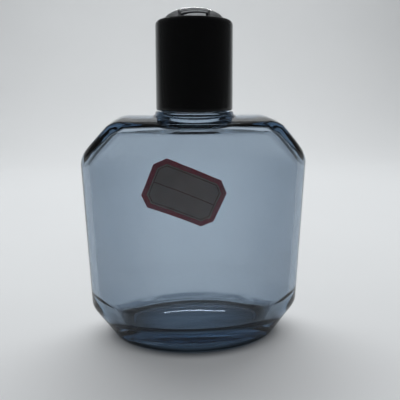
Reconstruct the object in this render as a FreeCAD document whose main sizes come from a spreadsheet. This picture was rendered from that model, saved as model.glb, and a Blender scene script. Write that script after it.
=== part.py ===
import FreeCAD, Part
import math
import os

import Sketcher

# Flat oval splash bottle of tinted glass with a tall screw cap.
# The origin is the centre of the base, +Z is up, the front is toward -Y and +X is to the right.

doc = FreeCAD.newDocument("aftershave_bottle")

# Driving dimensions in millimetres, degrees where the name says angle
DIMENSIONS = {
    # glass body, outside
    "body_width": 79.4,
    "body_depth": 35.2,
    "foot_inset_side": 8.4,
    "foot_inset_front": 0.3,
    "heel_height": 12.0,
    "shoulder_height": 83.0,
    "shoulder_crown_radius": 80.0,
    "corner_cut": 13.6,
    "shoulder_edge_radius": 2.2,
    "heel_edge_radius": 6.0,
    "foot_edge_radius": 1.0,
    "standing_ring": 6.2,
    "push_up_height": 0.8,
    # glass body, inside
    "side_wall": 3.0,
    "corner_wall": 3.0,
    "shoulder_wall": 3.3,
    "floor_thickness": 5.2,
    "floor_inset_side": 6.7,
    "floor_inset_front": 0.4,
    "inner_heel_rise": 11.0,
    "inner_shoulder_radius": 2.0,
    "inner_floor_radius": 5.5,
    "throat_radius": 3.0,
    # neck
    "plinth_overhang": 0.3,
    "plinth_height": 1.6,
    "plinth_flare_radius": 1.2,
    "neck_diameter": 17.4,
    "neck_height": 13.0,
    "neck_bore": 11.8,
    "lip_radius": 0.6,
    "thread_depth": 1.2,
    # pour plug
    "plug_flange_diameter": 16.0,
    "plug_flange_thickness": 0.8,
    "plug_length": 8.0,
    "plug_orifice": 6.4,
    "plug_plate": 1.4,
    "plug_wall": 1.0,
    "plug_clearance": 0.05,
    "plug_lead_in": 0.8,
    # cap
    "cap_seat_gap": 0.4,
    "cap_skirt_wall": 1.65,
    "cap_draft": 0.5,
    "cap_height": 28.0,
    "cap_top_round": 1.6,
    "cap_rim_round": 0.4,
    "cap_roof": 2.2,
    "cap_ledge": 0.7,
    "insert_wall": 1.0,
    "insert_roof": 1.2,
    "insert_recess": 0.6,
    "insert_clearance": 0.05,
    "thread_clearance": 0.4,
    "wad_thickness": 1.2,
    "wad_clearance": 0.3,
    # dome on the cap
    "dome_rim": 2.5,
    "dome_rise": 3.7,
    "dome_clearance": 0.1,
    "medallion_thickness": 0.4,
    "dome_seat_depth": 1.0,
    # paper label on the back wall
    "label_length": 31.5,
    "label_width": 21.2,
    "label_corner": 4.0,
    "label_angle": 23.0,
    "label_centre_x": -3.5,
    "label_centre_z": 51.0,
    "label_thickness": 0.12,
    "glue_line": 0.05,
    # how far a cutting solid runs past the glass that it cuts
    "overrun": 6.0,
}

sheet = doc.addObject("Spreadsheet::Sheet", "sheet")
for row, (alias, value) in enumerate(DIMENSIONS.items(), start=1):
    sheet.set(f"A{row}", alias)
    sheet.set(f"B{row}", str(value))
    sheet.setAlias(f"B{row}", alias)
doc.recompute()

# Levels and radii that several pieces share, as expressions on the sheet
PLINTH_TOP = "(sheet.shoulder_height + sheet.plinth_height)"
CAP_BOTTOM = f"({PLINTH_TOP} + sheet.cap_seat_gap)"
CAP_TOP = f"({CAP_BOTTOM} + sheet.cap_height)"
NECK_TOP = f"({PLINTH_TOP} + sheet.neck_height)"
PLUG_TOP = f"({NECK_TOP} + sheet.plug_flange_thickness)"
WAD_TOP = f"({PLUG_TOP} + sheet.wad_thickness)"
INSERT_TOP = f"({WAD_TOP} + sheet.insert_roof)"
INSERT_BORE_RADIUS = "(sheet.neck_diameter / 2 + sheet.thread_depth + sheet.thread_clearance)"
INSERT_RADIUS = f"({INSERT_BORE_RADIUS} + sheet.insert_wall)"
SHELL_BORE_RADIUS = f"({INSERT_RADIUS} + sheet.insert_clearance)"
CAP_BOTTOM_RADIUS = f"({SHELL_BORE_RADIUS} + sheet.cap_skirt_wall)"
CAP_TOP_RADIUS = f"({CAP_BOTTOM_RADIUS} - sheet.cap_draft)"
PLINTH_RADIUS = f"({CAP_BOTTOM_RADIUS} + sheet.plinth_overhang)"
DOME_RADIUS = f"({CAP_TOP_RADIUS} - sheet.dome_rim)"
DOME_SEAT_RADIUS = f"({DOME_RADIUS} + sheet.dome_clearance)"
DOME_SEAT = f"({CAP_TOP} - sheet.dome_seat_depth)"


def bind(thing, **expressions):
    """Tie properties of an object to expressions; a double underscore stands for a dot."""
    for name, expression in expressions.items():
        thing.setExpression(name.replace("__", "."), expression)


def value_of(expression):
    return float(sheet.evalExpression(expression.replace("sheet.", "")))


def fillet(name, base, radius, wanted):
    """Round the edges of base that pass the test, with a radius read from the sheet."""
    doc.recompute()
    size = value_of(radius)
    rounded = doc.addObject("Part::Fillet", name)
    rounded.Base = base
    rounded.Edges = [
        (index, size, size)
        for index, edge in enumerate(base.Shape.Edges, start=1)
        if wanted(edge)
    ]
    return rounded


def ellipse_ring(name, width, depth, level):
    ring = doc.addObject("Part::Ellipse", name)
    bind(ring, MajorRadius=f"{width} / 2", MinorRadius=f"{depth} / 2", Placement__Base__z=level)
    return ring


def oval_loft(name, lower_ring, upper_ring):
    loft = doc.addObject("Part::Loft", name)
    loft.Sections = [lower_ring, upper_ring]
    loft.Solid = True
    loft.Ruled = True
    return loft


def oval_prism(name, ring, height):
    prism = doc.addObject("Part::Extrusion", name)
    prism.Base = ring
    prism.DirMode = "Custom"
    prism.Dir = FreeCAD.Vector(0, 0, 1)
    prism.Solid = True
    bind(prism, LengthFwd=height)
    return prism


def footed_oval(name, foot_ring, wall_ring, wall_height):
    """Straight oval wall on a tapered oval foot."""
    whole = doc.addObject("Part::MultiFuse", name)
    whole.Shapes = [
        oval_loft(f"{name}_foot", foot_ring, wall_ring),
        oval_prism(f"{name}_wall", wall_ring, wall_height),
    ]
    return whole


def fully_placed_outline(sketch, corners):
    """Closed straight outline, every corner held by its own two expressions."""
    places = [
        FreeCAD.Vector(value_of(across), value_of(up), 0)
        for across, up in corners
    ]
    for index, start in enumerate(places):
        sketch.addGeometry(Part.LineSegment(start, places[(index + 1) % len(places)]))
    for index in range(len(places)):
        after = (index + 1) % len(places)
        sketch.addConstraint(Sketcher.Constraint("Coincident", index, 2, after, 1))
    for index, (across, up) in enumerate(corners):
        for kind, axis, expression in (("DistanceX", -2, across), ("DistanceY", -1, up)):
            if expression == "0":
                sketch.addConstraint(Sketcher.Constraint("PointOnObject", index, 1, axis))
                continue
            at = sketch.addConstraint(
                Sketcher.Constraint(kind, -1, 1, index, 1, value_of(expression))
            )
            sketch.setExpression(f"Constraints[{at}]", expression)


def origin_plane(body, role):
    return next(item for item in body.Origin.OriginFeatures if item.Role == role)


def turned_body(label, corners):
    """Body of revolution about Z from an outline of radius and height expressions."""
    body = doc.addObject("PartDesign::Body", label)
    body.Label = label
    sketch = body.newObject("Sketcher::SketchObject", f"{label}_outline")
    sketch.AttachmentSupport = [(origin_plane(body, "XZ_Plane"), "")]
    sketch.MapMode = "FlatFace"
    fully_placed_outline(sketch, corners)
    turn = body.newObject("PartDesign::Revolution", f"{label}_turned")
    turn.Profile = sketch
    turn.ReferenceAxis = (sketch, ["V_Axis"])
    turn.Angle = 360
    doc.recompute()
    return body


def soften(body, name, radius, level, reach):
    """Round the circular edges of a turned body at one height and radius."""
    base = body.Tip
    height = value_of(level)
    distance = value_of(reach)
    names = [
        f"Edge{index}"
        for index, edge in enumerate(base.Shape.Edges, start=1)
        if is_circle(edge)
        and math.isclose(edge.Curve.Center.z, height, abs_tol=1e-4)
        and math.isclose(edge.Curve.Radius, distance, abs_tol=1e-4)
    ]
    feature = body.newObject("PartDesign::Fillet", name)
    feature.Base = (base, names)
    feature.setExpression("Radius", radius)
    doc.recompute()


def is_circle(edge):
    return isinstance(edge.Curve, Part.Circle)


def corner_cutters(name, reach):
    """Pair of prisms that cut both upper corners of an oval at 45 degrees."""
    sketch = doc.addObject("Sketcher::SketchObject", f"{name}_outline")
    sketch.Placement = FreeCAD.Placement(
        FreeCAD.Vector(0, 0, 0), FreeCAD.Rotation(FreeCAD.Vector(1, 0, 0), 90)
    )
    side = "sheet.body_width / 2"
    top = "sheet.shoulder_height"
    fully_placed_outline(sketch, [
        (f"{side} - {reach} - sheet.overrun", f"{top} + sheet.overrun"),
        (f"{side} + sheet.overrun", f"{top} - {reach} - sheet.overrun"),
        (f"{side} + sheet.overrun", f"{top} + sheet.overrun"),
    ])
    prism = doc.addObject("Part::Extrusion", f"{name}_right")
    prism.Base = sketch
    prism.DirMode = "Custom"
    prism.Dir = FreeCAD.Vector(0, 1, 0)
    prism.Symmetric = True
    prism.Solid = True
    bind(prism, LengthFwd="sheet.body_depth + 2 * sheet.overrun")
    twin = doc.addObject("Part::Mirroring", f"{name}_left")
    twin.Source = prism
    twin.Normal = FreeCAD.Vector(1, 0, 0)
    pair = doc.addObject("Part::MultiFuse", f"{name}_pair")
    pair.Shapes = [prism, twin]
    return pair


def cut(name, base, tool):
    feature = doc.addObject("Part::Cut", name)
    feature.Base = base
    feature.Tool = tool
    return feature


def lowest(edge):
    return edge.BoundBox.ZMin


# Glass bottle: oval wall on a narrower oval foot, upper corners cut flat, crowned shoulder

BASE_WIDTH = "(sheet.body_width - 2 * sheet.foot_inset_side)"
BASE_DEPTH = "(sheet.body_depth - 2 * sheet.foot_inset_front)"
outer_oval = footed_oval(
    "outer_oval",
    ellipse_ring("foot_ring", BASE_WIDTH, BASE_DEPTH, "0"),
    ellipse_ring("heel_ring", "sheet.body_width", "sheet.body_depth", "sheet.heel_height"),
    "sheet.shoulder_height - sheet.heel_height",
)

octagon_front = cut("octagon_front", outer_oval, corner_cutters("corner", "sheet.corner_cut"))

crown = doc.addObject("Part::Cylinder", "crown")
crown.Placement.Rotation = FreeCAD.Rotation(FreeCAD.Vector(0, 1, 0), 90)
bind(
    crown,
    Radius="sheet.shoulder_crown_radius",
    Height="sheet.body_width + 2 * sheet.overrun",
    Placement__Base__x="-sheet.body_width / 2 - sheet.overrun",
    Placement__Base__z="sheet.shoulder_height - sheet.shoulder_crown_radius",
)
crowned = doc.addObject("Part::Common", "crowned")
crowned.Base = octagon_front
crowned.Tool = crown

corner_start = value_of("sheet.shoulder_height - sheet.corner_cut")
rounded_shoulder = fillet(
    "rounded_shoulder",
    crowned,
    "sheet.shoulder_edge_radius",
    lambda edge: lowest(edge) > corner_start - 1,
)

heel_level = value_of("sheet.heel_height")
rounded_heel = fillet(
    "rounded_heel",
    rounded_shoulder,
    "sheet.heel_edge_radius",
    lambda edge: abs(lowest(edge) - heel_level) < 1e-3 and edge.BoundBox.ZLength < 1e-3,
)
rounded_foot = fillet(
    "rounded_foot",
    rounded_heel,
    "sheet.foot_edge_radius",
    lambda edge: edge.BoundBox.ZMax < 1e-3,
)

NECK_RADIUS = "sheet.neck_diameter / 2"
PLINTH_ROOT = "sheet.shoulder_height - sheet.shoulder_wall"
neck_blank = turned_body("neck_blank", [
    ("0", PLINTH_ROOT),
    (PLINTH_RADIUS, PLINTH_ROOT),
    (PLINTH_RADIUS, PLINTH_TOP),
    (NECK_RADIUS, PLINTH_TOP),
    (NECK_RADIUS, NECK_TOP),
    ("0", NECK_TOP),
])
soften(neck_blank, "rounded_lip", "sheet.lip_radius", NECK_TOP, NECK_RADIUS)
soften(neck_blank, "rounded_plinth", "sheet.lip_radius", PLINTH_TOP, PLINTH_RADIUS)

glass_blank = doc.addObject("Part::MultiFuse", "glass_blank")
glass_blank.Shapes = [rounded_foot, neck_blank]

plinth_radius = value_of(PLINTH_RADIUS)
plinth_top = value_of(PLINTH_TOP)


def at_plinth_foot(edge):
    """True for the curve where the plinth meets the crowned shoulder."""
    if edge.Degenerated:
        return False
    reaches = [math.hypot(point.x, point.y) for point in edge.discretize(5)]
    return (
        max(abs(reach - plinth_radius) for reach in reaches) < 1e-3
        and edge.BoundBox.ZMax < plinth_top - value_of("sheet.lip_radius") - 1e-3
        and edge.Length > plinth_radius
    )


flared_blank = fillet("flared_blank", glass_blank, "sheet.plinth_flare_radius", at_plinth_foot)

INNER_WIDTH = "(sheet.body_width - 2 * sheet.side_wall)"
INNER_DEPTH = "(sheet.body_depth - 2 * sheet.side_wall)"
FLOOR_WIDTH = f"({INNER_WIDTH} - 2 * sheet.floor_inset_side)"
FLOOR_DEPTH = f"({INNER_DEPTH} - 2 * sheet.floor_inset_front)"
CEILING = "(sheet.shoulder_height - sheet.shoulder_wall)"
INNER_HEEL = "(sheet.floor_thickness + sheet.inner_heel_rise)"
cavity_oval = footed_oval(
    "cavity_oval",
    ellipse_ring("floor_ring", FLOOR_WIDTH, FLOOR_DEPTH, "sheet.floor_thickness"),
    ellipse_ring("inner_heel_ring", INNER_WIDTH, INNER_DEPTH, INNER_HEEL),
    f"{CEILING} - {INNER_HEEL}",
)
INNER_CUT = "(sheet.corner_cut + sheet.corner_wall * sqrt(2))"
cavity_corners = cut("cavity_corners", cavity_oval, corner_cutters("cavity_corner", INNER_CUT))
ceiling = value_of(CEILING)
inner_corner_start = value_of(f"sheet.shoulder_height - {INNER_CUT}")
rounded_cavity = fillet(
    "rounded_cavity",
    cavity_corners,
    "sheet.inner_shoulder_radius",
    lambda edge: lowest(edge) > inner_corner_start - 1,
)
floor_level = value_of("sheet.floor_thickness")
inner_heel_level = value_of(INNER_HEEL)
smooth_cavity = fillet(
    "smooth_cavity",
    rounded_cavity,
    "sheet.inner_floor_radius",
    lambda edge: edge.BoundBox.ZLength < 1e-3
    and min(abs(lowest(edge) - floor_level), abs(lowest(edge) - inner_heel_level)) < 1e-3,
)

bore = doc.addObject("Part::Cylinder", "bore")
bind(
    bore,
    Radius="sheet.neck_bore / 2",
    Height=f"{NECK_TOP} - {CEILING} + 2 * sheet.overrun",
    Placement__Base__z=f"{CEILING} - sheet.overrun",
)
hollow = doc.addObject("Part::MultiFuse", "hollow")
hollow.Shapes = [smooth_cavity, bore]
bore_radius = value_of("sheet.neck_bore / 2")
throated_hollow = fillet(
    "throated_hollow",
    hollow,
    "sheet.throat_radius",
    lambda edge: is_circle(edge)
    and math.isclose(edge.Curve.Radius, bore_radius, abs_tol=1e-4)
    and math.isclose(edge.Curve.Center.z, ceiling, abs_tol=1e-4),
)
open_blank = cut("open_blank", flared_blank, throated_hollow)

PUSH_UP_WIDTH = f"({BASE_WIDTH} - 2 * sheet.standing_ring)"
PUSH_UP_DEPTH = f"({BASE_DEPTH} - 2 * sheet.standing_ring)"
PUSH_UP_SLOPE = "4 * sheet.push_up_height"
push_up = oval_loft(
    "push_up",
    ellipse_ring(
        "push_up_below",
        f"({PUSH_UP_WIDTH} + {PUSH_UP_SLOPE})",
        f"({PUSH_UP_DEPTH} + {PUSH_UP_SLOPE})",
        "-sheet.push_up_height",
    ),
    ellipse_ring(
        "push_up_roof",
        f"({PUSH_UP_WIDTH} - {PUSH_UP_SLOPE})",
        f"({PUSH_UP_DEPTH} - {PUSH_UP_SLOPE})",
        "sheet.push_up_height",
    ),
)
glass_bottle = cut("glass_bottle", open_blank, push_up)

# Pour plug: thin flanged sleeve pressed into the neck, with a drip hole in its plate

SLEEVE_RADIUS = "(sheet.neck_bore / 2 - sheet.plug_clearance)"
PLUG_BOTTOM = f"({NECK_TOP} - sheet.plug_length)"
pour_plug = turned_body("pour_plug", [
    ("sheet.plug_orifice / 2", PLUG_TOP),
    ("sheet.plug_orifice / 2", f"{PLUG_TOP} - sheet.plug_plate"),
    (f"{SLEEVE_RADIUS} - sheet.plug_wall", f"{PLUG_TOP} - sheet.plug_plate"),
    (f"{SLEEVE_RADIUS} - sheet.plug_wall", PLUG_BOTTOM),
    (f"{SLEEVE_RADIUS} - sheet.plug_wall / 2", PLUG_BOTTOM),
    (SLEEVE_RADIUS, f"{PLUG_BOTTOM} + sheet.plug_lead_in"),
    (SLEEVE_RADIUS, NECK_TOP),
    ("sheet.plug_flange_diameter / 2", NECK_TOP),
    ("sheet.plug_flange_diameter / 2", PLUG_TOP),
])

# Sealing wad: soft disc between the plug and the roof of the insert

sealing_wad = doc.addObject("Part::Cylinder", "sealing_wad")
bind(
    sealing_wad,
    Radius=f"{INSERT_BORE_RADIUS} - sheet.wad_clearance",
    Height="sheet.wad_thickness",
    Placement__Base__z=PLUG_TOP,
)

# Cap insert: plain cup that carries the inside thread and is pressed into the shell

INSERT_BOTTOM = f"({CAP_BOTTOM} + sheet.insert_recess)"
cap_insert = turned_body("cap_insert", [
    (INSERT_BORE_RADIUS, INSERT_BOTTOM),
    (INSERT_RADIUS, INSERT_BOTTOM),
    (INSERT_RADIUS, INSERT_TOP),
    ("0", INSERT_TOP),
    ("0", WAD_TOP),
    (INSERT_BORE_RADIUS, WAD_TOP),
])

# Cap shell: drafted outer cap with a ledge that stops the insert and a seat for the dome

CAP_CEILING = f"({CAP_TOP} - sheet.cap_roof)"
LEDGE_RADIUS = f"({SHELL_BORE_RADIUS} - sheet.cap_ledge)"
cap_shell = turned_body("cap_shell", [
    (SHELL_BORE_RADIUS, CAP_BOTTOM),
    (CAP_BOTTOM_RADIUS, CAP_BOTTOM),
    (CAP_TOP_RADIUS, CAP_TOP),
    (DOME_SEAT_RADIUS, CAP_TOP),
    (DOME_SEAT_RADIUS, DOME_SEAT),
    ("0", DOME_SEAT),
    ("0", CAP_CEILING),
    (LEDGE_RADIUS, CAP_CEILING),
    (LEDGE_RADIUS, INSERT_TOP),
    (SHELL_BORE_RADIUS, INSERT_TOP),
])
soften(cap_shell, "rounded_top", "sheet.cap_top_round", CAP_TOP, CAP_TOP_RADIUS)
soften(cap_shell, "rounded_rim", "sheet.cap_rim_round", CAP_BOTTOM, CAP_BOTTOM_RADIUS)

# Dome medallion: thin metal disc on the seat under the dome

dome_medallion = doc.addObject("Part::Cylinder", "dome_medallion")
bind(
    dome_medallion,
    Radius=DOME_RADIUS,
    Height="sheet.medallion_thickness",
    Placement__Base__z=DOME_SEAT,
)

# Cap dome: clear lens, a short cylinder in the seat under half an ellipsoid

lens_foot = doc.addObject("Part::Cylinder", "lens_foot")
bind(
    lens_foot,
    Radius=DOME_RADIUS,
    Height="sheet.dome_seat_depth - sheet.medallion_thickness",
    Placement__Base__z=f"{DOME_SEAT} + sheet.medallion_thickness",
)
lens_crown = doc.addObject("Part::Ellipsoid", "lens_crown")
lens_crown.Angle1 = 0
lens_crown.Angle2 = 90
bind(
    lens_crown,
    Radius1="sheet.dome_rise",
    Radius2=DOME_RADIUS,
    Radius3=DOME_RADIUS,
    Placement__Base__z=CAP_TOP,
)
cap_dome = doc.addObject("Part::MultiFuse", "cap_dome")
cap_dome.Shapes = [lens_foot, lens_crown]

# Paper label: eight-sided sheet bent to the back wall, held by a thin line of glue


def back_wall_skin(name, offset):
    """Oval solid that stands off the glass wall by the given expression."""
    ring = ellipse_ring(
        f"{name}_ring",
        f"(sheet.body_width + 2 * ({offset}))",
        f"(sheet.body_depth + 2 * ({offset}))",
        "sheet.heel_height",
    )
    return oval_prism(name, ring, "sheet.shoulder_height - sheet.heel_height")


paper_sheet = cut(
    "paper_sheet",
    back_wall_skin("paper_outside", "sheet.glue_line + sheet.label_thickness"),
    back_wall_skin("paper_inside", "sheet.glue_line"),
)
label_block = doc.addObject("Part::Box", "label_block")
label_block.Placement.Rotation = FreeCAD.Rotation(FreeCAD.Vector(0, 1, 0), value_of("sheet.label_angle"))
HALF_LENGTH = "sheet.label_length / 2"
HALF_WIDTH = "sheet.label_width / 2"
TURN_COS = "cos(sheet.label_angle * 1 deg)"
TURN_SIN = "sin(sheet.label_angle * 1 deg)"
bind(
    label_block,
    Length="sheet.label_length",
    Width="sheet.body_depth",
    Height="sheet.label_width",
    Placement__Base__x=f"sheet.label_centre_x - {HALF_LENGTH} * {TURN_COS} - {HALF_WIDTH} * {TURN_SIN}",
    Placement__Base__z=f"sheet.label_centre_z + {HALF_LENGTH} * {TURN_SIN} - {HALF_WIDTH} * {TURN_COS}",
)
doc.recompute()
corner = value_of("sheet.label_corner")
label_octagon = doc.addObject("Part::Chamfer", "label_octagon")
label_octagon.Base = label_block
label_octagon.Edges = [
    (index, corner, corner)
    for index, edge in enumerate(label_block.Shape.Edges, start=1)
    if math.isclose(abs(edge.tangentAt(edge.FirstParameter).y), 1, abs_tol=1e-6)
]
paper_label = doc.addObject("Part::Common", "paper_label")
paper_label.Base = paper_sheet
paper_label.Tool = label_octagon

# Check every object and every piece before anything is written

doc.recompute()
for item in doc.Objects:
    if "Invalid" in item.State or "Error" in item.State:
        raise RuntimeError(f"{item.Name} failed: {item.State}")

pieces = [
    glass_bottle,
    pour_plug,
    sealing_wad,
    cap_insert,
    cap_shell,
    dome_medallion,
    cap_dome,
    paper_label,
]
for piece in pieces:
    shape = piece.Shape
    if shape.isNull() or not shape.isValid() or len(shape.Solids) != 1:
        raise RuntimeError(f"{piece.Label} is not one valid solid")

os.makedirs("parts", exist_ok=True)
for piece in pieces:
    piece.Shape.exportStep(f"parts/{piece.Label}.step")
    print(piece.Label, round(piece.Shape.Volume, 1), "mm3")
print("capacity below the neck", round(smooth_cavity.Shape.Volume / 1000, 1), "ml")
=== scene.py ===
import math

import bpy
import numpy as np
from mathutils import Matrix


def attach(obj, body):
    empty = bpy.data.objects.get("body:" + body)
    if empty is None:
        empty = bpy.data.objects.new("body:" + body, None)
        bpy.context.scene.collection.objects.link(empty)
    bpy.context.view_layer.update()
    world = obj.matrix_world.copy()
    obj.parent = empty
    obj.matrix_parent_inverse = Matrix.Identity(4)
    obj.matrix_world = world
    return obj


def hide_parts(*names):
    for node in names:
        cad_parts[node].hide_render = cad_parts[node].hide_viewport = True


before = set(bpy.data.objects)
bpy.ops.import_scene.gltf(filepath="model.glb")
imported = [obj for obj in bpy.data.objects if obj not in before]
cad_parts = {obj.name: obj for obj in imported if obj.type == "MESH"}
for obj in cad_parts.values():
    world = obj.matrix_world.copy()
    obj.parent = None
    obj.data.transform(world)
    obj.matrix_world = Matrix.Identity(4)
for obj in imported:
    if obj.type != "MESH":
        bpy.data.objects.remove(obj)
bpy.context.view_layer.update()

# Glass bottle: one piece of blue-grey glass, blown in a two-part mould onto a thick base.
# The mould cuts its upper corners flat, crowns the shoulder and leaves a hollow, round plinth
# under the threaded neck. Lengths are millimetres here and metres on the stage.

MM = 0.001
COLUMNS = 320
TURN = np.linspace(0, 2 * math.pi, COLUMNS, endpoint=False)
COS, SIN = np.cos(TURN), np.sin(TURN)


def smooth_step(low, high, value):
    share = np.clip((value - low) / (high - low), 0, 1)
    return share * share * (3 - 2 * share)


def ring(half_x, half_y, level):
    """Closed oval ring of points; the half axes and the level may differ from point to point."""
    return np.stack([half_x * COS, half_y * SIN, np.broadcast_to(level, COLUMNS)], axis=1)


def oval_gap(x, y, half_x, half_y):
    """Signed distance to an oval, exact on it and near enough close by; negative inside."""
    share = np.sqrt((x / half_x) ** 2 + (y / half_y) ** 2)
    slope = np.sqrt((x / half_x**2) ** 2 + (y / half_y**2) ** 2)
    return share * (share - 1) / np.maximum(slope, 1e-6)


def rounded(radius, *gaps):
    """Common inside of several walls, their edges rounded with one radius."""
    lifted = [gap + radius for gap in gaps]
    beyond = np.sqrt(sum(np.maximum(gap, 0) ** 2 for gap in lifted))
    return np.minimum(np.maximum.reduce(lifted), 0) + beyond - radius


def crossing(gap, low, high, halvings=44):
    """Where a gap that grows between two arrays of values passes zero."""
    for _ in range(halvings):
        middle = (low + high) / 2
        inside = gap(middle) < 0
        low = np.where(inside, middle, low)
        high = np.where(inside, high, middle)
    return (low + high) / 2


def bent(share, half_span):
    """A ramp that reaches 1 and stays there, its bend eased over half_span on each side."""
    eased = 1 - (1 + half_span - share) ** 2 / (4 * half_span)
    return np.where(share < 1 - half_span, share, np.where(share > 1 + half_span, 1.0, eased))


def skin_of_rings(name, rings, close=False):
    """Smooth mesh through rings of points in millimetres; a ring of one point is a pole."""
    starts = np.cumsum([0] + [len(one) for one in rings])
    faces = []
    pairs = list(zip(range(len(rings)), range(1, len(rings))))
    if close:
        pairs.append((len(rings) - 1, 0))
    for below, above in pairs:
        a, b = int(starts[below]), int(starts[above])
        count = max(len(rings[below]), len(rings[above]))
        for i in range(count):
            j = (i + 1) % count
            if len(rings[below]) == 1:
                faces.append((a, b + j, b + i))
            elif len(rings[above]) == 1:
                faces.append((a + i, a + j, b))
            else:
                faces.append((a + i, a + j, b + j, b + i))
    mesh = bpy.data.meshes.new(name)
    mesh.from_pydata((np.concatenate(rings) * MM).tolist(), [], faces)
    mesh.polygons.foreach_set("use_smooth", [True] * len(mesh.polygons))
    mesh.update()
    piece = bpy.data.objects.new(name, mesh)
    bpy.context.scene.collection.objects.link(piece)
    return piece


BODY_X, BODY_Y = 39.7, 17.6
FOOT_X, FOOT_Y, FOOT_ROUND = 31.3, 17.3, 1.0
PUSH_UP_X, PUSH_UP_Y, PUSH_UP = 25.1, 11.1, 0.8
HEEL, HEEL_EASE = 12.0, 1.75
SHOULDER, CROWN = 83.0, 80.0
CORNER_REACH = 109.1
EDGE = 2.2
PLINTH, PLINTH_TOP, FLARE = 13.3, 84.6, 1.2
NECK, NECK_TOP, NECK_ROOT, LIP, LIP_FLAT = 8.7, 97.6, 0.4, 0.6, 7.0
BORE, BORE_LIP, THROAT = 5.9, 0.15, 1.2
COLLAR, COLLAR_WALL, COLLAR_ROOF = 9.2, 83.3, 0.9
INNER_X, INNER_Y = 36.7, 14.6
FLOOR_X, FLOOR_Y, FLOOR, FLOOR_ROUND = 30.0, 14.2, 5.2, 5.5
INNER_HEEL, CEILING = 16.2, 79.7
CORNER_WALL = 3.0
INNER_REACH = CORNER_REACH - CORNER_WALL * math.sqrt(2)
INNER_EDGE = 2.0
PITCH, THREAD_START, THREAD_TURNS, THREAD_RISE = 3.175, 88.0, 1.5, 1.1
THREAD_RUN_OUT, THREAD_CREST, THREAD_FOOT = 0.12, 0.3, 0.95
NECK_LOW, NECK_HIGH, NECK_STEP = 85.4, 96.8, 0.3
SEARCH_LOW, SEARCH_HIGH = 50.0, 84.0
LEAST_LEAN, LEAST_SHARE, MOST_SHARE = 0.2, 0.6, 1.0 + 1e-6

OUTWARD_X, OUTWARD_Y = BODY_Y * COS, BODY_X * SIN
OUTWARD = np.hypot(OUTWARD_X, OUTWARD_Y)
OUTWARD_X, OUTWARD_Y = OUTWARD_X / OUTWARD, OUTWARD_Y / OUTWARD
AROUND = np.arctan2(BODY_Y * SIN, BODY_X * COS)


def circle(radius, level):
    """Round ring whose points lie on the same rays as those of the oval body."""
    return np.stack(
        [radius * np.cos(AROUND), radius * np.sin(AROUND), np.broadcast_to(level, COLUMNS)], axis=1
    )


def outside(x, y, z):
    """Gap to the outside of the body, negative within it."""
    return rounded(
        EDGE,
        oval_gap(x, y, BODY_X, BODY_Y),
        (np.abs(x) + z - CORNER_REACH) / math.sqrt(2),
        np.hypot(y, z - SHOULDER + CROWN) - CROWN,
    )


def inside(x, y, z):
    """Gap to the wall of the hollow, negative within the hollow."""
    return rounded(
        INNER_EDGE,
        oval_gap(x, y, INNER_X, INNER_Y),
        (np.abs(x) + z - INNER_REACH) / math.sqrt(2),
        z - CEILING,
    )


def shoulder_rings(gap, half_x, half_y, radius, start, mouth):
    """Rings up an oval wall from a level, over its rounded top edge and in to a round mouth."""
    top_lean = np.maximum(np.abs(OUTWARD_X) / math.sqrt(2), LEAST_LEAN)
    turn_in = radius * (1 - np.cos(np.arccos(top_lean) / 2))
    scale = 1 - turn_in / (half_x * COS * OUTWARD_X + half_y * SIN * OUTWARD_Y)
    edge_x, edge_y = scale * half_x * COS, scale * half_y * SIN
    lowest, highest = np.full(COLUMNS, SEARCH_LOW), np.full(COLUMNS, SEARCH_HIGH)
    top_level = crossing(lambda z: gap(edge_x, edge_y, z), lowest, highest)
    drops = (1.5, 1.2, 1.0, 0.84, 0.7, 0.57, 0.45, 0.33, 0.23, 0.13, 0.06)
    wall_top = top_level - drops[0] * radius
    levels = [start + (wall_top - start) * share for share in np.linspace(0, 1, 9)[:-1]]
    levels += [top_level - radius * drop for drop in drops]
    rings = []
    for level in levels:
        share = crossing(
            lambda s: gap(s * half_x * COS, s * half_y * SIN, level),
            np.full(COLUMNS, LEAST_SHARE),
            np.full(COLUMNS, MOST_SHARE),
        )
        rings.append(ring(share * half_x, share * half_y, level))
    rings.append(np.stack([edge_x, edge_y, top_level], axis=1))
    mouth_x, mouth_y = mouth * np.cos(AROUND), mouth * np.sin(AROUND)
    for share in np.linspace(0, 1, 37)[1:] ** 1.6:
        x, y = edge_x + (mouth_x - edge_x) * share, edge_y + (mouth_y - edge_y) * share
        level = crossing(lambda z: gap(x, y, z), lowest, highest)
        rings.append(np.stack([x, y, level], axis=1))
    return rings


def foot_rings(foot_x, foot_y, spread_x, spread_y, rise, radius, level):
    """Rings of the rounded edge between a flat oval and a wall that spreads as it rises."""
    lean = np.arctan((spread_x * COS * OUTWARD_X + spread_y * SIN * OUTWARD_Y) / rise)
    centre = -radius * (1 - np.sin(lean)) / np.cos(lean)
    rings = []
    for share in np.linspace(0, 1, 11):
        turn = (math.pi / 2 - lean) * share
        out = centre + radius * np.sin(turn)
        rings.append(
            np.stack(
                [
                    foot_x * COS + OUTWARD_X * out,
                    foot_y * SIN + OUTWARD_Y * out,
                    level + radius * (1 - np.cos(turn)),
                ],
                axis=1,
            )
        )
    return rings


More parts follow.
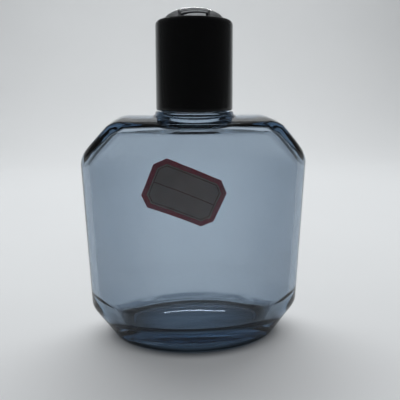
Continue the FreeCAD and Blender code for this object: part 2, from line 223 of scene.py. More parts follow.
def base_rings():
    """Rings from the middle of the push-up to the wall above the heel."""
    rings = [np.array([[0, 0, PUSH_UP]])]
    slope = 2 * PUSH_UP
    for share in (0.2, 0.45, 0.7, 0.88, 0.96):
        rings.append(ring((PUSH_UP_X - slope) * share, (PUSH_UP_Y - slope) * share, PUSH_UP))
    for share in np.linspace(0, 1, 9):
        inset = slope * (1 - share)
        level = PUSH_UP * (1 - smooth_step(0, 1, share))
        rings.append(ring(PUSH_UP_X - inset, PUSH_UP_Y - inset, level))
    edge = foot_rings(FOOT_X, FOOT_Y, BODY_X - FOOT_X, BODY_Y - FOOT_Y, HEEL, FOOT_ROUND, 0.0)
    push_up_edge = rings[-1]
    for share in (0.25, 0.55, 0.85):
        rings.append(push_up_edge + (edge[0] - push_up_edge) * share)
    rings += edge
    for level in (1.5, 2.4, 3.6, 5, 6.5, 8, 9.2, *np.linspace(9.9, 14.1, 18), 15):
        grown = bent(np.array(level / HEEL), HEEL_EASE / HEEL)
        half_x = FOOT_X + (BODY_X - FOOT_X) * grown
        half_y = FOOT_Y + (BODY_Y - FOOT_Y) * grown
        rings.append(ring(half_x, half_y, level))
    return rings


def thread_height(angle, level):
    """Rise of the right-hand thread above the neck at an angle and a level, from 0 to 1."""
    turns = (level - THREAD_START) / PITCH - angle / (2 * math.pi)
    whole = np.round(turns)
    along = angle / (2 * math.pi) + whole
    off = np.abs(turns - whole) * PITCH
    ends = smooth_step(0, THREAD_RUN_OUT, along)
    ends = ends * smooth_step(0, THREAD_RUN_OUT, THREAD_TURNS - along)
    return (1 - smooth_step(THREAD_CREST, THREAD_FOOT, off)) * ends


def arc(centre_radius, centre_level, radius, start, end, steps):
    """Places outward and upward along a rounded edge, its angles in degrees from outward."""
    return [
        (
            centre_radius + radius * math.cos(math.radians(angle)),
            centre_level + radius * math.sin(math.radians(angle)),
        )
        for angle in np.linspace(start, end, steps)
    ]


def neck_rings(foot_level):
    """Rings over the flare and the plinth, up the threaded neck and over its lip to the hollow."""
    plinth_foot = foot_level + FLARE
    profile = arc(PLINTH + FLARE, plinth_foot, FLARE, 270, 180, 8)[1:]
    for share in (0.4, 0.8):
        profile.append((PLINTH, plinth_foot + (PLINTH_TOP - LIP - plinth_foot) * share))
    profile += arc(PLINTH - LIP, PLINTH_TOP - LIP, LIP, 0, 90, 7)
    profile += [(radius, PLINTH_TOP) for radius in (11.5, 10.2, 9.4)]
    profile += arc(NECK + NECK_ROOT, PLINTH_TOP + NECK_ROOT, NECK_ROOT, 270, 180, 5)
    for level in np.arange(NECK_LOW, NECK_HIGH, NECK_STEP):
        rise = THREAD_RISE * thread_height(np.mod(AROUND, 2 * math.pi), level)
        profile.append((NECK + rise, level))
    profile += arc(NECK - LIP, NECK_TOP - LIP, LIP, 0, 90, 6)
    profile.append((LIP_FLAT, NECK_TOP))
    profile += arc(BORE + BORE_LIP, NECK_TOP - BORE_LIP, BORE_LIP, 90, 180, 4)
    profile += [(BORE, level) for level in (95, 91, 87.5)]
    for turn in np.linspace(0, math.pi / 2, 15):
        out, rise = (COLLAR - BORE) * math.sin(turn), COLLAR_ROOF * math.cos(turn)
        profile.append((BORE + out, COLLAR_WALL + rise))
    profile += arc(COLLAR + THROAT, CEILING + THROAT, THROAT, 180, 270, 15)[:-1]
    return [circle(radius, level) for radius, level in profile]


def floor_rings():
    """Rings from the wall above the inner heel down to the middle of the inner floor."""
    rings = []
    spread_x, spread_y, rise = INNER_X - FLOOR_X, INNER_Y - FLOOR_Y, INNER_HEEL - FLOOR
    for above in (4.6, 3.0, *np.linspace(2.0, -2.0, 15), -2.8, -3.4):
        level = INNER_HEEL + above
        share = bent(np.array((level - FLOOR) / rise), half_span=0.15)
        rings.append(ring(FLOOR_X + spread_x * share, FLOOR_Y + spread_y * share, level))
    edge = foot_rings(FLOOR_X, FLOOR_Y, spread_x, spread_y, rise, FLOOR_ROUND, FLOOR)
    rings += edge[::-1]
    for share in (0.9, 0.78, 0.64, 0.5, 0.35, 0.2, 0.08):
        rings.append((edge[0] - (0, 0, FLOOR)) * share + (0, 0, FLOOR))
    rings.append(np.array([[0, 0, FLOOR]]))
    return rings


outer_shoulder = shoulder_rings(
    outside, BODY_X, BODY_Y, EDGE, start=17.0, mouth=PLINTH + FLARE
)
inner_shoulder = shoulder_rings(
    inside, INNER_X, INNER_Y, INNER_EDGE, start=23.0, mouth=COLLAR + THROAT
)
neck_and_bore = neck_rings(outer_shoulder[-1][:, 2])
bottle = skin_of_rings(
    "bottle_glass",
    base_rings() + outer_shoulder + neck_and_bore + inner_shoulder[::-1] + floor_rings(),
)


class Finish:
    """An output of a material's nodes that can stand in Python arithmetic."""

    def __init__(self, tree, output=None):
        self.tree = tree
        self.output = output

    def node(self, kind, settings=None, sockets=None, output=0):
        """Add a node from its type, its settings and the values or links of its sockets."""
        made = self.tree.nodes.new(kind)
        for name, value in (settings or {}).items():
            if name == "stops":
                while len(made.color_ramp.elements) < len(value):
                    made.color_ramp.elements.new(0.5)
                for element, (place, colour) in zip(made.color_ramp.elements, value):
                    element.position = place
                    element.color = (*colour, 1)
            else:
                setattr(made, name, value)
        for name, value in (sockets or {}).items():
            if isinstance(value, Finish):
                self.tree.links.new(value.output, made.inputs[name])
            else:
                made.inputs[name].default_value = value
        return Finish(self.tree, made.outputs[output] if made.outputs else None)

    def arithmetic(self, operation, first, second=0.0):
        return self.node("ShaderNodeMath", {"operation": operation}, {0: first, 1: second})

    def __add__(self, other):
        return self.arithmetic("ADD", self, other)

    __radd__ = __add__

    def __sub__(self, other):
        return self.arithmetic("SUBTRACT", self, other)

    def __rsub__(self, other):
        return self.arithmetic("SUBTRACT", other, self)

    def __mul__(self, other):
        return self.arithmetic("MULTIPLY", self, other)

    __rmul__ = __mul__

    def __lt__(self, other):
        return self.arithmetic("LESS_THAN", self, other)

    def __gt__(self, other):
        return self.arithmetic("GREATER_THAN", self, other)

    def __abs__(self):
        return self.arithmetic("ABSOLUTE", self)

    def least(self, other):
        return self.arithmetic("MINIMUM", self, other)

    def mixed(self, first, second):
        """Colour between two colours, this value being the share of the second."""
        return self.node(
            "ShaderNodeMix", {"data_type": "RGBA"}, {0: self, 6: first, 7: second}, output=2
        )

    def eased(self, low, high):
        """This value as a share that eases from 0 at low to 1 at high."""
        return self.node(
            "ShaderNodeMapRange",
            {"interpolation_type": "SMOOTHSTEP"},
            {"Value": self, "From Min": low, "From Max": high},
        )

    def axis(self, name):
        return self.node("ShaderNodeSeparateXYZ", sockets={0: self}, output=name)

    def scaled(self, x, y, z):
        return self.node("ShaderNodeMapping", sockets={"Vector": self, "Scale": (x, y, z)})

    def reach(self):
        """Length of this vector."""
        return self.node(
            "ShaderNodeVectorMath", {"operation": "LENGTH"}, {0: self}, output="Value"
        )

    def noise(self, scale, detail, roughness=0.5):
        """Noise pattern laid out by this vector."""
        return self.node(
            "ShaderNodeTexNoise",
            sockets={"Vector": self, "Scale": scale, "Detail": detail, "Roughness": roughness},
        )

    def bump(self, strength, distance):
        """Normals of a surface that this height roughens."""
        return self.node(
            "ShaderNodeBump", sockets={"Strength": strength, "Distance": distance, "Height": self}
        )


def new_finish(name):
    """Empty material and the start of its nodes."""
    material = bpy.data.materials.new(name)
    material.use_nodes = True
    material.node_tree.nodes.clear()
    return material, Finish(material.node_tree)


glass_material, glass = new_finish("blue_grey_glass")
glass_place = glass.node("ShaderNodeTexCoord", output="Object")
mould_ripple = glass_place.noise(110.0, 2.0, 0.4)
handling = glass_place.noise(35.0, 4.0, 0.6)
glass_level = glass_place.axis("Z")
foot_streaks = glass_place.scaled(28.0, 220.0, 220.0).noise(1.0, 2.0)
near_foot = glass_level.eased(5.0 * MM, 0.9 * MM)
stippled = glass_level < (PUSH_UP + 0.1) * MM
# Painted shade: the glass tint darkens towards the sides, below the cut corners.
glass_across = glass_place.axis("X")
toward_side = abs(glass_across).eased(6.0 * MM, 40.0 * MM)
below_corner = glass_level.eased(73.0 * MM, 64.0 * MM)
middle_tint = handling.mixed((0.848, 0.882, 0.915, 1), (0.793, 0.831, 0.874, 1))
tint_with_painted_side_shade = (toward_side * below_corner).mixed(middle_tint, (0.66, 0.70, 0.745, 1))
# Painted shade: the foot of the glass turns dark navy, laid in streaks.
foot_band = glass_level.eased(6.5 * MM, 4.0 * MM)
painted_foot_shade = foot_band * (1 - stippled) * (foot_streaks * 5.0 - 1.6)
glass_skin = glass.node(
    "ShaderNodeBsdfPrincipled",
    sockets={
        "Base Color": painted_foot_shade.mixed(tint_with_painted_side_shade, (0.16, 0.21, 0.27, 1)),
        "Roughness": handling * 0.012 + stippled * 0.1,
        "IOR": 1.5,
        "Transmission Weight": 1.0,
        "Normal": (mould_ripple + foot_streaks * near_foot * 40.0).bump(0.06, 0.0006),
    },
)
glass_depth = glass.node(
    "ShaderNodeVolumeAbsorption", sockets={"Color": (0.39, 0.52, 0.63, 1), "Density": 150.0}
)
glass.node("ShaderNodeOutputMaterial", sockets={"Surface": glass_skin, "Volume": glass_depth})
bottle.data.materials.append(glass_material)
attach(bottle, "bottle")
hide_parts("glass_bottle")

# Pour plug: thin natural polyethylene sleeve with a flange and a drip hole.
# It is injection moulded and pressed into the bore, and the cap hides it.


def dress_node(name, material):
    """Give a node of the frame that keeps its own shape a material."""
    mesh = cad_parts[name].data
    mesh.materials.clear()
    mesh.materials.append(material)


plug_material, plug = new_finish("natural_polyethylene")
plug_place = plug.node("ShaderNodeTexCoord", output="Object")
plug_cloud = plug_place.noise(400.0, 3.0)
plug_skin = plug.node(
    "ShaderNodeBsdfPrincipled",
    sockets={
        "Base Color": plug_cloud.mixed((0.80, 0.82, 0.82, 1), (0.87, 0.88, 0.88, 1)),
        "Roughness": 0.32 + plug_cloud * 0.15,
        "IOR": 1.51,
        "Subsurface Weight": 0.2,
        "Subsurface Scale": 0.001,
    },
)
plug.node("ShaderNodeOutputMaterial", sockets={"Surface": plug_skin})
dress_node("pour_plug", plug_material)

# Paper label: aged paper, die cut to eight sides, with a printed red border.
# A thin line runs inside the border and one ruled line along the middle.
# It is gummed at a tilt to the outside of the back wall and shows through the glass.

LABEL_LONG, LABEL_WIDE, LABEL_CORNER = 31.5, 21.2, 4.0
LABEL_TILT = math.radians(23.0)
LABEL_X, LABEL_Z = -3.5, 51.0
GLUE, PAPER = 0.05, 0.12
LABEL_COLUMNS, LABEL_ROWS = 64, 42
BORDER, BORDER_WEAR = 2.0, 0.5
LINE_FROM, LINE_TO, RULE_HALF, LINE_INK = 2.5, 2.9, 0.2, 0.85


def label_spot(along, across, offset):
    """Point of the label in metres, from its flat place and its offset from the glass."""
    x = LABEL_X + along * math.cos(LABEL_TILT) + across * math.sin(LABEL_TILT)
    z = LABEL_Z - along * math.sin(LABEL_TILT) + across * math.cos(LABEL_TILT)
    y = (BODY_Y + offset) * math.sqrt(1 - (x / (BODY_X + offset)) ** 2)
    return x * MM, y * MM, z * MM


def label_half_width(along):
    """Half the label's width at a place along its length; the corners are cut at 45 degrees."""
    past = max(0.0, abs(along) - (LABEL_LONG / 2 - LABEL_CORNER))
    return LABEL_WIDE / 2 - past


spots, flat_places, label_faces = [], [], []
stations = sorted(
    set(np.round(np.linspace(-LABEL_LONG / 2, LABEL_LONG / 2, LABEL_COLUMNS + 1), 6))
    | {LABEL_CORNER - LABEL_LONG / 2, LABEL_LONG / 2 - LABEL_CORNER}
)
for offset in (GLUE, GLUE + PAPER):
    for along in stations:
        for step in range(LABEL_ROWS + 1):
            across = label_half_width(along) * (2 * step / LABEL_ROWS - 1)
            spots.append(label_spot(along, across, offset))
            flat_places.append((0.5 + along / LABEL_LONG, 0.5 + across / LABEL_WIDE))
per_column = LABEL_ROWS + 1
sheet_size = len(stations) * per_column
for i in range(len(stations) - 1):
    for j in range(LABEL_ROWS):
        a = i * per_column + j
        label_faces.append((a, a + per_column, a + per_column + 1, a + 1))
        b = a + sheet_size
        label_faces.append((b, b + 1, b + per_column + 1, b + per_column))
outline = (
    [i * per_column for i in range(len(stations))]
    + [(len(stations) - 1) * per_column + j for j in range(1, per_column)]
    + [i * per_column + LABEL_ROWS for i in range(len(stations) - 2, -1, -1)]
    + list(range(LABEL_ROWS - 1, 0, -1))
)
for a, b in zip(outline, outline[1:] + outline[:1]):
    label_faces.append((b, a, a + sheet_size, b + sheet_size))
label_mesh = bpy.data.meshes.new("back_label")
label_mesh.from_pydata(spots, [], label_faces)
flat_map = label_mesh.uv_layers.new(name="flat")
for loop in label_mesh.loops:
    flat_map.data[loop.index].uv = flat_places[loop.vertex_index]
label_mesh.update()
label_piece = bpy.data.objects.new("back_label", label_mesh)
bpy.context.scene.collection.objects.link(label_piece)

paper_material, paper = new_finish("aged_printed_paper")
flat_place = paper.node("ShaderNodeUVMap", {"uv_map": "flat"})
flat_along = (flat_place.axis("X") - 0.5) * LABEL_LONG
flat_across = (flat_place.axis("Y") - 0.5) * LABEL_WIDE
corner_sum = LABEL_LONG / 2 + LABEL_WIDE / 2 - LABEL_CORNER
from_ends = LABEL_LONG / 2 - abs(flat_along)
from_sides = LABEL_WIDE / 2 - abs(flat_across)
from_corners = (corner_sum - abs(flat_along) - abs(flat_across)) * math.sqrt(0.5)
from_edge = from_ends.least(from_sides).least(from_corners)
paper_place = paper.node("ShaderNodeTexCoord", output="Object")
fibres = paper_place.noise(1400.0, 4.0)
stains = paper_place.noise(160.0, 5.0)
paper_tone = stains * 1.6 + fibres * 0.6 - 0.6
bare_paper = paper_tone.mixed((0.53, 0.36, 0.275, 1), (0.82, 0.58, 0.445, 1))
printed_edge = fibres.mixed((0.66, 0.005, 0.03, 1), (0.80, 0.02, 0.06, 1))
worn_edge = from_edge + stains * BORDER_WEAR - BORDER_WEAR / 2
border = worn_edge < BORDER
inner_line = (from_edge > LINE_FROM) * (from_edge < LINE_TO)
ruled_line = (abs(flat_across) < RULE_HALF) * (from_edge > LINE_TO)
inked_paper = ((inner_line + ruled_line) * LINE_INK).mixed(bare_paper, (0.24, 0.02, 0.03, 1))
paper_skin = paper.node(
    "ShaderNodeBsdfPrincipled",
    sockets={
        "Base Color": border.mixed(inked_paper, printed_edge),
        "Roughness": 0.75 + fibres * 0.2,
        "Transmission Weight": 0.33,
        "IOR": 1.3,
        "Normal": fibres.bump(0.3, 0.0001),
    },
)
paper.node("ShaderNodeOutputMaterial", sockets={"Surface": paper_skin})
label_mesh.materials.append(paper_material)
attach(label_piece, "bottle")
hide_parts("paper_label")

# Sealing wad: disc of white foamed polyethylene, die cut from sheet.
# It lies loose under the insert's roof and seals on the plug's flange.

wad_material, wad = new_finish("foamed_polyethylene")
wad_place = wad.node("ShaderNodeTexCoord", output="Object")
wad_cells = wad.node(
    "ShaderNodeTexVoronoi", sockets={"Vector": wad_place, "Scale": 2500.0}, output="Distance"
)
wad_skin = wad.node(
    "ShaderNodeBsdfPrincipled",
    sockets={
        "Base Color": wad_cells.mixed((0.86, 0.86, 0.84, 1), (0.78, 0.78, 0.76, 1)),
        "Roughness": 0.6 + wad_cells * 0.2,
        "Normal": wad_cells.bump(0.3, 0.0001),
    },
)
wad.node("ShaderNodeOutputMaterial", sockets={"Surface": wad_skin})
dress_node("sealing_wad", wad_material)

# Cap insert: black polypropylene cup with a right-hand thread inside, pressed into the shell.
# The thread is swept along its helix with a blunt ridge that fits between the neck's ridges.

insert_material, insert = new_finish("black_polypropylene")
insert_place = insert.node("ShaderNodeTexCoord", output="Object")
insert_grain = insert_place.noise(900.0, 3.0)
insert_skin = insert.node(
    "ShaderNodeBsdfPrincipled",
    sockets={
        "Base Color": insert_grain.mixed((0.018, 0.018, 0.019, 1), (0.032, 0.032, 0.033, 1)),
        "Roughness": 0.38 + insert_grain * 0.2,
        "Normal": insert_grain.bump(0.15, 0.0001),
    },
)
insert.node("ShaderNodeOutputMaterial", sockets={"Surface": insert_skin})
dress_node("cap_insert", insert_material)


class Growth:
    """Geometry node tree under construction, with named inputs for its sizes."""

    def __init__(self, name):
        self.tree = bpy.data.node_groups.new(name, "GeometryNodeTree")
        self.tree.interface.new_socket(
            "Geometry", in_out="OUTPUT", socket_type="NodeSocketGeometry"
        )
        self.entry = self.tree.nodes.new("NodeGroupInput")

    def size(self, name, kind="NodeSocketFloat"):
        self.tree.interface.new_socket(name, in_out="INPUT", socket_type=kind)
        return self.entry.outputs[name]

    def node(self, kind, settings=None, sockets=None, output=0):
        made = self.tree.nodes.new(kind)
        for name, value in (settings or {}).items():
            setattr(made, name, value)
        for name, value in (sockets or {}).items():
            if isinstance(value, bpy.types.NodeSocket):
                self.tree.links.new(value, made.inputs[name])
            else:
                made.inputs[name].default_value = value
        return made.outputs[output]

    def arithmetic(self, operation, first, second=0.0):
        return self.node("ShaderNodeMath", {"operation": operation}, {0: first, 1: second})

    def vector(self, **axes):
        return self.node("ShaderNodeCombineXYZ", sockets=axes)

    def grown(self, name, geometry, material, **sizes):
        """Finish the tree, run it with these sizes and keep the result as a plain mesh."""
        realized = self.node("GeometryNodeRealizeInstances", sockets={"Geometry": geometry})
        painted = self.node(
            "GeometryNodeSetMaterial", sockets={"Geometry": realized, "Material": material}
        )
        exit_node = self.tree.nodes.new("NodeGroupOutput")
        self.tree.links.new(painted, exit_node.inputs["Geometry"])
        empty = bpy.data.meshes.new(f"{name}_carrier")
        carrier = bpy.data.objects.new(f"{name}_carrier", empty)
        bpy.context.scene.collection.objects.link(carrier)
        modifier = carrier.modifiers.new("grow", "NODES")
        modifier.node_group = self.tree
        for item in self.tree.interface.items_tree:
            if item.in_out == "INPUT":
                modifier[item.identifier] = sizes[item.name]
        evaluated = carrier.evaluated_get(bpy.context.evaluated_depsgraph_get())
        mesh = bpy.data.meshes.new_from_object(evaluated)
        mesh.name = name
        bpy.data.objects.remove(carrier)
        piece = bpy.data.objects.new(name, mesh)
        bpy.context.scene.collection.objects.link(piece)
        return piece


thread = Growth("insert_thread_sweep")
thread_radius = thread.size("radius")
thread_turns = thread.size("turns")
thread_pitch = thread.size("pitch")
thread_low = thread.size("lowest")
thread_ridge = thread.size("ridge")
thread_length = thread.arithmetic("MULTIPLY", thread_turns, thread_pitch)
helix = thread.node(
    "GeometryNodeCurveSpiral",
    sockets={
        "Resolution": 64,
        "Rotations": thread_turns,
        "Start Radius": thread_radius,
        "End Radius": thread_radius,
        "Height": thread_length,
        "Reverse": False,
    },
)
lifted = thread.node(
    "GeometryNodeTransform",
    sockets={"Geometry": helix, "Translation": thread.vector(Z=thread_low)},
)
blunt = thread.node(
    "GeometryNodeCurvePrimitiveCircle",
    {"mode": "RADIUS"},
    {"Resolution": 12, "Radius": thread_ridge},
)
swept = thread.node(
    "GeometryNodeCurveToMesh", sockets={"Curve": lifted, "Profile Curve": blunt, "Fill Caps": True}
)
insert_thread = thread.grown(
    "insert_thread",
    swept,
    insert_material,
    radius=10.15 * MM,
    turns=1.25,
    pitch=PITCH * MM,
    lowest=(THREAD_START - PITCH / 2) * MM,
    ridge=0.6 * MM,
)
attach(insert_thread, "cap")

# Cap shell: tall cap of glossy black urea plastic, moulded with a little draft and polished.
# Its rim clears the plinth, its top edge is rounded and a shallow seat takes the dome.

CAP_LOW, CAP_HIGH = 85.0, 113.0
CAP_LOW_RADIUS, CAP_HIGH_RADIUS = 13.0, 12.5
SEAT, SEAT_RADIUS, SEAT_LIP = 112.0, 10.1, 0.12
TOP_ROUND, RIM_ROUND, MOUTH_ROUND = 1.6, 0.4, 0.15
ROOF, AIR, LEDGE, SHELL_BORE = 110.8, 10.65, 100.8, 11.35


def lathe(name, profile, columns):
    """Closed solid turned about the bottle's axis from a profile of radius and level."""
    angles = np.linspace(0, 2 * math.pi, columns, endpoint=False)
    rings = []
    for radius, level in profile:
        if radius == 0:
            rings.append(np.array([[0, 0, level]]))
        else:
            x, y = radius * np.cos(angles), radius * np.sin(angles)
            rings.append(np.stack([x, y, np.full(columns, level)], axis=1))
    closed = profile[0][0] > 0 and profile[-1][0] > 0
    return skin_of_rings(name, rings, close=closed)


draft = math.atan((CAP_LOW_RADIUS - CAP_HIGH_RADIUS) / (CAP_HIGH - CAP_LOW))


def shell_radius(level):
    """Outside radius of the drafted cap at a level."""
    return CAP_LOW_RADIUS - (level - CAP_LOW) * math.tan(draft)


top_centre = shell_radius(CAP_HIGH - TOP_ROUND) - TOP_ROUND / math.cos(draft)
rim_centre = shell_radius(CAP_LOW + RIM_ROUND) - RIM_ROUND / math.cos(draft)
shell_profile = (
    [(0, ROOF), (9.4, ROOF), (AIR - 0.2, ROOF), (AIR, ROOF - 0.2)]
    + [(AIR, LEDGE + 0.2), (AIR, LEDGE), (SHELL_BORE - 0.2, LEDGE)]
    + [(SHELL_BORE, level) for level in (LEDGE - 0.05, LEDGE - 0.6, CAP_LOW + 0.6)]
    + arc(SHELL_BORE + MOUTH_ROUND, CAP_LOW + MOUTH_ROUND, MOUTH_ROUND, 180, 270, 4)
    + [(11.9, CAP_LOW), (12.3, CAP_LOW)]
    + arc(rim_centre, CAP_LOW + RIM_ROUND, RIM_ROUND, 270, 360 + math.degrees(draft), 7)
    + [(shell_radius(level), level) for level in (86.2, 88, 93, 98, 103, 108, 110.6)]
    + arc(top_centre, CAP_HIGH - TOP_ROUND, TOP_ROUND, math.degrees(draft), 90, 14)
    + [(10.6, CAP_HIGH), (10.4, CAP_HIGH)]
    + arc(SEAT_RADIUS + SEAT_LIP, CAP_HIGH - SEAT_LIP, SEAT_LIP, 90, 180, 4)
    + [(SEAT_RADIUS, SEAT + 0.5), (SEAT_RADIUS, SEAT + 0.1), (SEAT_RADIUS - 0.05, SEAT + 0.02)]
    + [(SEAT_RADIUS - 0.15, SEAT), (8.0, SEAT), (0, SEAT)]
)
shell = lathe("cap_outer", shell_profile, 224)

shell_material, black = new_finish("polished_black_plastic")
black_place = black.node("ShaderNodeTexCoord", output="Object")
black_haze = black_place.noise(60.0, 5.0)
black_dust = black_place.noise(2200.0, 2.0)
dust_specks = (black_dust > 0.74) * 0.5
shell_skin = black.node(
    "ShaderNodeBsdfPrincipled",
    sockets={
        "Base Color": dust_specks.mixed((0.0012, 0.0014, 0.0016, 1), (0.02, 0.021, 0.022, 1)),
        "Roughness": 0.09 + black_haze * 0.12 + dust_specks * 0.2,
        "IOR": 1.5,
    },
)
black.node("ShaderNodeOutputMaterial", sockets={"Surface": shell_skin})
shell.data.materials.append(shell_material)
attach(shell, "cap")
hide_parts("cap_shell")

# Dome medallion: thin stamped aluminium disc that lies on the seat under the dome.
# Its face carries plain ruled ridges inside a smooth rim and is coloured dark between the ridges.

DARK_REACH, DARK_RISE = 4.0, 0.3

disc_edge = [(0, 0.01), (9.7, 0.01), (9.95, 0.03), (10.0, 0.1), (10.0, 0.28), (9.95, 0.35)]
disc_face = [(9.7, 0.37), (7.9, 0.37), (7.7, 0.32), (7.5, 0.22), (0, 0.22)]
disc_profile = [(radius, SEAT + rise) for radius, rise in disc_edge + disc_face]
disc = lathe("medallion_disc", disc_profile, 160)
ridges = Growth("medallion_ridges")
ridge_count = ridges.size("count", "NodeSocketInt")
ridge_step = ridges.size("step")
ridge_reach = ridges.size("reach")
ridge_width = ridges.size("width")
ridge_rise = ridges.size("rise")
ridge_level = ridges.size("level")
row_gaps = ridges.arithmetic("SUBTRACT", ridge_count, 1.0)
row_length = ridges.arithmetic("MULTIPLY", row_gaps, ridge_step)
row_start = ridges.arithmetic("MULTIPLY", row_length, -0.5)
row = ridges.node(
    "GeometryNodeMeshLine",
    sockets={
        "Count": ridge_count,
        "Start Location": ridges.vector(Y=row_start, Z=ridge_level),
        "Offset": ridges.vector(Y=ridge_step),
    },
)
spot = ridges.node("GeometryNodeInputPosition")
place = ridges.node("ShaderNodeSeparateXYZ", sockets={0: spot}, output="Y")
square = ridges.arithmetic("MULTIPLY", place, place)
reach_square = ridges.arithmetic("MULTIPLY", ridge_reach, ridge_reach)
chord_square = ridges.arithmetic("SUBTRACT", reach_square, square)
chord = ridges.arithmetic("SQRT", chord_square)
bar = ridges.node("GeometryNodeMeshCube", sockets={"Size": (2.0, 1.0, 1.0)})
bars = ridges.node(
    "GeometryNodeInstanceOnPoints",
    sockets={
        "Points": row,
        "Instance": bar,
        "Scale": ridges.vector(X=chord, Y=ridge_width, Z=ridge_rise),
    },
)

metal_material, metal = new_finish("stamped_aluminium")
metal_place = metal.node("ShaderNodeTexCoord", output="Object")
metal_streaks = metal_place.scaled(3000.0, 120.0, 120.0).noise(1.0, 3.0)
metal_level = metal_place.axis("Z")
metal_reach = metal_place.scaled(1000.0, 1000.0, 0.0).reach()
# Dark colour on the disc's face between the ridges, within their reach.
dark_between_ridges = (metal_reach < DARK_REACH) * (metal_level < (SEAT + DARK_RISE) * MM)
bare_metal = metal_streaks.mixed((0.55, 0.56, 0.57, 1), (0.74, 0.75, 0.76, 1))
metal_skin = metal.node(
    "ShaderNodeBsdfPrincipled",
    sockets={
        "Base Color": dark_between_ridges.mixed(bare_metal, (0.07, 0.07, 0.075, 1)),
        "Metallic": 1.0,
        "Roughness": 0.22 + metal_streaks * 0.18,
    },
)
metal.node("ShaderNodeOutputMaterial", sockets={"Surface": metal_skin})
disc.data.materials.append(metal_material)
disc_ridges = ridges.grown(
    "medallion_ridges",
    bars,
    metal_material,
    count=9,
    step=0.8 * MM,
    reach=3.6 * MM,
    width=0.4 * MM,
    rise=0.16 * MM,
    level=(SEAT + 0.27) * MM,
)
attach(disc, "cap")
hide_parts("dome_medallion")
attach(disc_ridges, "cap")

# Cap dome: clear acrylic lens, moulded and polished, set in the seat over the medallion.
# Its underside is bonded to the disc and lets light straight through.

DOME_RADIUS, DOME_RISE, DOME_SUNK = 10.0, 3.7, 1.2
DOME_FLOOR, BOND = 112.46, 0.04

dome_start = math.asin(DOME_SUNK / (DOME_RISE + DOME_SUNK))
dome_profile = (
    [(0, DOME_FLOOR), (9.6, DOME_FLOOR), (9.9, DOME_FLOOR + 0.02)]
    + [(DOME_RADIUS, DOME_FLOOR + 0.1), (DOME_RADIUS, CAP_HIGH - 0.2)]
    + [
        (
            DOME_RADIUS * math.cos(angle) / math.cos(dome_start),
            CAP_HIGH - DOME_SUNK + (DOME_RISE + DOME_SUNK) * math.sin(angle),
        )
        for angle in np.linspace(dome_start, math.pi / 2, 40)[:-1]
    ]
    + [(0, CAP_HIGH + DOME_RISE)]
)
dome = lathe("cap_lens", dome_profile, 192)
lens_material, lens = new_finish("clear_acrylic")
lens_place = lens.node("ShaderNodeTexCoord", output="Object")
lens_level = lens_place.axis("Z")
lens_wear = lens_place.noise(300.0, 5.0)
lens_skin = lens.node(
    "ShaderNodeBsdfPrincipled",
    sockets={
        "Base Color": lens_wear.mixed((0.97, 0.975, 0.98, 1), (0.93, 0.94, 0.945, 1)),
        "Roughness": lens_wear * 0.03,
        "IOR": 1.49,
        "Transmission Weight": 1.0,
        "Alpha": lens_level > (DOME_FLOOR + BOND) * MM,
    },
)
lens.node("ShaderNodeOutputMaterial", sockets={"Surface": lens_skin})
dome.data.materials.append(lens_material)
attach(dome, "cap")
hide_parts("cap_dome")

# Stage: a sweep of matt pale paper, flat under the bottle, curved up behind it.
# Its faint glow is painted light, with painted light and a painted shadow at the bottle's foot.
# A wide soft lamp hangs over it, unseen in gloss and glass, and a slim tube behind adds a glint.
# The room is dim, and glass alone shows its pale ceiling.

SWEEP_HALF, SWEEP_BEND = 1.2, 0.3
GLOW_FRONT, GLOW_LENGTH = 0.07, 0.67

sweep_profile = [(depth, 0.0) for depth in (-1.2, -0.6, -0.3, 0.0, 0.2)]
sweep_profile += arc(SWEEP_BEND, SWEEP_BEND, SWEEP_BEND, 270, 360, 24)
sweep_profile.append((2 * SWEEP_BEND, SWEEP_BEND + 0.04))
sweep_mesh = bpy.data.meshes.new("paper_sweep")
sweep_points = [(x, y, z) for y, z in sweep_profile for x in (-SWEEP_HALF, SWEEP_HALF)]
sweep_faces = [(2 * i, 2 * i + 1, 2 * i + 3, 2 * i + 2) for i in range(len(sweep_profile) - 1)]
sweep_mesh.from_pydata(sweep_points, [], sweep_faces)
sweep_mesh.polygons.foreach_set("use_smooth", [True] * len(sweep_mesh.polygons))
sweep = bpy.data.objects.new("paper_sweep", sweep_mesh)
bpy.context.scene.collection.objects.link(sweep)
sweep_material, backing = new_finish("pale_backing_paper")
backing_place = backing.node("ShaderNodeTexCoord", output="Object")
backing_grain = backing_place.noise(9.0, 3.0)
backing_depth = backing_place.axis("Y")
# Painted light: a glow along the depth, strongest just in front of the bottle where it lightens
# the bottle's shadow, fading to none up the backdrop.
painted_floor_light = backing.node(
    "ShaderNodeValToRGB",
    {
        "stops": [
            (0.0, (0.0, 0.0, 0.0)),
            (0.035, (0.225, 0.230, 0.235)),
            (0.09, (0.170, 0.174, 0.178)),
            (0.16, (0.180, 0.186, 0.190)),
            (0.26, (0.160, 0.165, 0.170)),
            (0.61, (0.060, 0.062, 0.064)),
            (1.0, (0.0, 0.0, 0.0)),
        ]
    },
    {"Fac": (backing_depth + GLOW_FRONT) * (1 / GLOW_LENGTH)},
)
by_camera = backing.node("ShaderNodeLightPath", output="Is Camera Ray")
by_gloss = backing.node("ShaderNodeLightPath", output="Is Glossy Ray")
by_glass = backing.node("ShaderNodeLightPath", output="Is Transmission Ray")
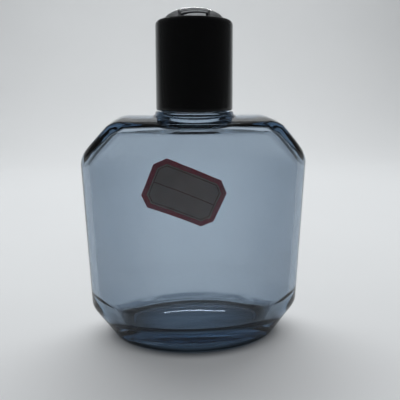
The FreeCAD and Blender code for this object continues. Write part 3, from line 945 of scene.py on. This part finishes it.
# Painted light and shadow at the foot: a blue glow under the foot stands in for light passed
# through the glass, and it falls to almost nothing in a ring around the foot, a painted shadow.
beside_bottle = backing_place.scaled(25.0, 42.0, 0.0).reach()
clear_of_foot = beside_bottle.eased(0.70, 0.90)
looked_at = (by_camera + by_gloss + by_glass).least(1.0)
painted_foot_light_and_shadow = backing.node(
    "ShaderNodeValToRGB",
    {
        "stops": [
            (0.0, (0.106, 0.150, 0.190)),
            (0.40, (0.070, 0.101, 0.132)),
            (0.62, (0.002, 0.003, 0.004)),
        ]
    },
    {"Fac": beside_bottle},
)
# The paper's glow is painted light and painted shadow, seen only by camera, gloss and glass rays.
painted_floor_light_and_shadow = clear_of_foot.mixed(painted_foot_light_and_shadow, painted_floor_light)
backing_skin = backing.node(
    "ShaderNodeBsdfPrincipled",
    sockets={
        "Base Color": backing_grain.mixed((0.555, 0.574, 0.589, 1), (0.578, 0.597, 0.612, 1)),
        "Roughness": 0.9,
        "Specular IOR Level": 0.2,
        "Emission Color": looked_at.mixed((0, 0, 0, 1), painted_floor_light_and_shadow),
        "Emission Strength": 1.0,
    },
)
backing.node("ShaderNodeOutputMaterial", sockets={"Surface": backing_skin})
sweep_mesh.materials.append(sweep_material)


def area_lamp(name, width, depth, energy, location):
    """Rectangular lamp that points straight down."""
    data = bpy.data.lights.new(name, "AREA")
    data.shape = "RECTANGLE"
    data.size = width
    data.size_y = depth
    data.energy = energy
    made = bpy.data.objects.new(name, data)
    made.location = location
    bpy.context.scene.collection.objects.link(made)
    return made


lamp = area_lamp("overhead_softbox", 0.95, 0.22, 5.3, (0.0, 0.28, 0.62))
lamp.data.color = (1.0, 0.995, 0.985)
lamp.visible_glossy = False
lamp.visible_transmission = False
tube = area_lamp("slim_tube", 0.104, 0.004, 0.03, (0.018, 0.42, 0.255))
tube.rotation_euler = (math.radians(-60.0), 0.0, 0.0)

room = bpy.data.worlds.new("dim_room")
bpy.context.scene.world = room
room.use_nodes = True
room.node_tree.nodes.clear()
air = Finish(room.node_tree)
heading = air.node("ShaderNodeTexCoord", output="Generated")
toward_back = heading.axis("Y")
wall_tone = air.node(
    "ShaderNodeValToRGB",
    {
        "stops": [
            (0.0, (0.055, 0.057, 0.060)),
            (0.45, (0.075, 0.077, 0.080)),
            (0.80, (0.12, 0.123, 0.126)),
            (1.0, (0.20, 0.205, 0.21)),
        ]
    },
    {"Fac": toward_back * 0.5 + 0.5},
)
overhead = heading.axis("Z").eased(0.55, 0.80)
seen_in_glass = air.node("ShaderNodeLightPath", output="Is Transmission Ray")
room_tone = (overhead * seen_in_glass).mixed(wall_tone, (0.78, 0.79, 0.80, 1))
room_light = air.node("ShaderNodeBackground", sockets={"Color": room_tone, "Strength": 1.0})
air.node("ShaderNodeOutputWorld", sockets={"Surface": room_light})

camera_data = bpy.data.cameras.new("front_camera")
camera_data.sensor_width = 36.0
camera_data.lens = 36.0
camera_data.clip_start = 0.005
camera_data.clip_end = 10.0
camera = bpy.data.objects.new("front_camera", camera_data)
camera.location = (-0.0064, -0.1400, 0.0944)
camera.rotation_euler = (math.radians(73.42), 0.0, math.radians(-3.4))
bpy.context.scene.collection.objects.link(camera)
bpy.context.scene.camera = camera
bpy.context.scene.view_settings.view_transform = "Standard"
